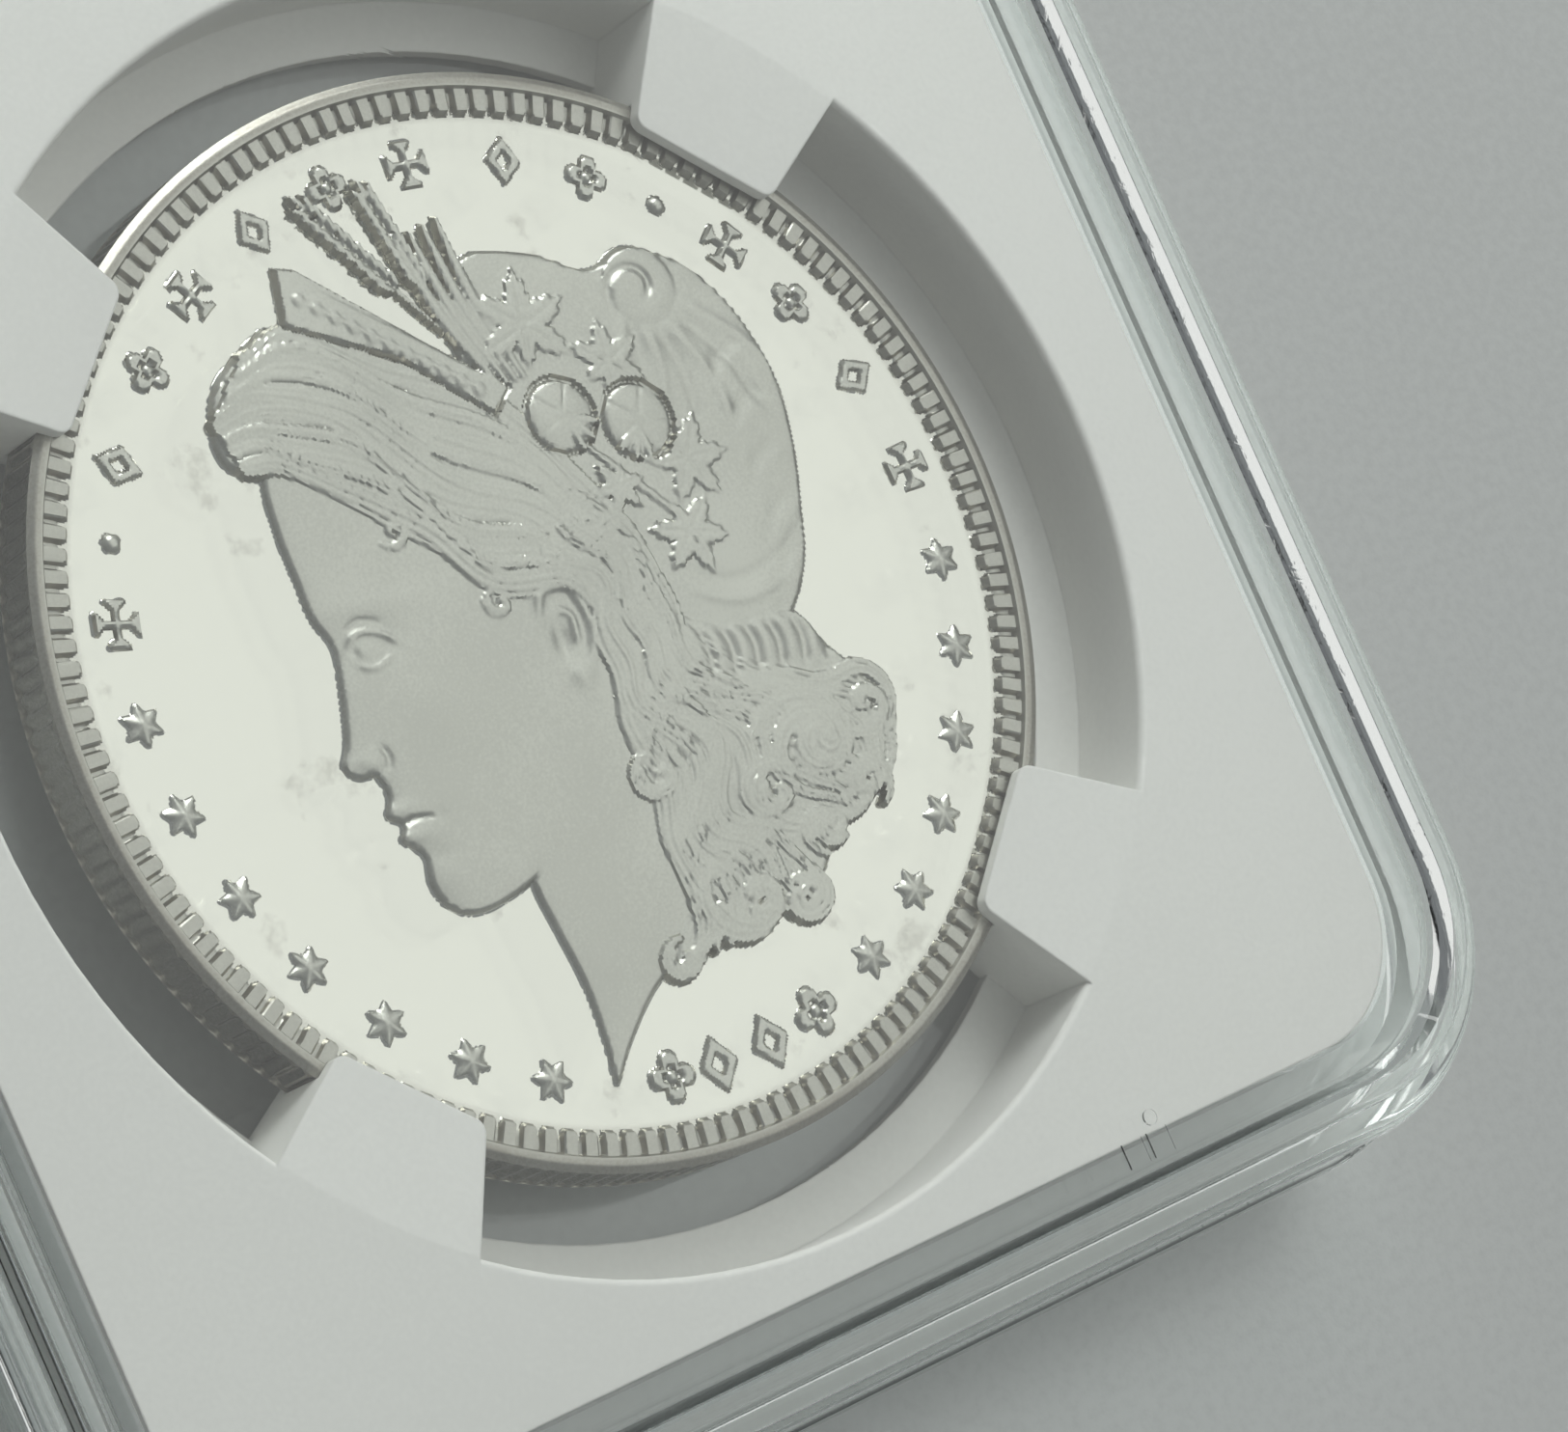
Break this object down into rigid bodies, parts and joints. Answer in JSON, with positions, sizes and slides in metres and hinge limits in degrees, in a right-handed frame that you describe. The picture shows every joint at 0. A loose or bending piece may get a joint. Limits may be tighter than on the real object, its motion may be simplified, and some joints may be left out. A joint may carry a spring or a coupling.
{
  "type": "graded coin slab",
  "caption": "Sealed clear holder that shows a coin gripped at its rim by a white insert, with a label space above, stackable on its raised rims.",
  "frame": {"origin": "middle of the rear stacking rim's resting face, with the slab lying on its rear", "axes": "+Z out of the front window, +Y towards the label end, +X to the right as the front is read"},
  "size_m": [0.0614, 0.0856, 0.0086],
  "materials": {
    "clear_case": "clear moulded polystyrene, polished windows",
    "white_insert": "satin white elastomer",
    "silver": "mirror fields and frosted relief, lightly worn rim",
    "label_paper": "printed coated card",
    "security_foil": "diffractive foil"
  },
  "bodies": {
    "root": {"front_shell": "clear_case", "rear_shell": "clear_case", "core": "white_insert", "coin": "silver", "label_card": "label_paper", "hologram_foil": "security_foil"}
  },
  "joints": []
}
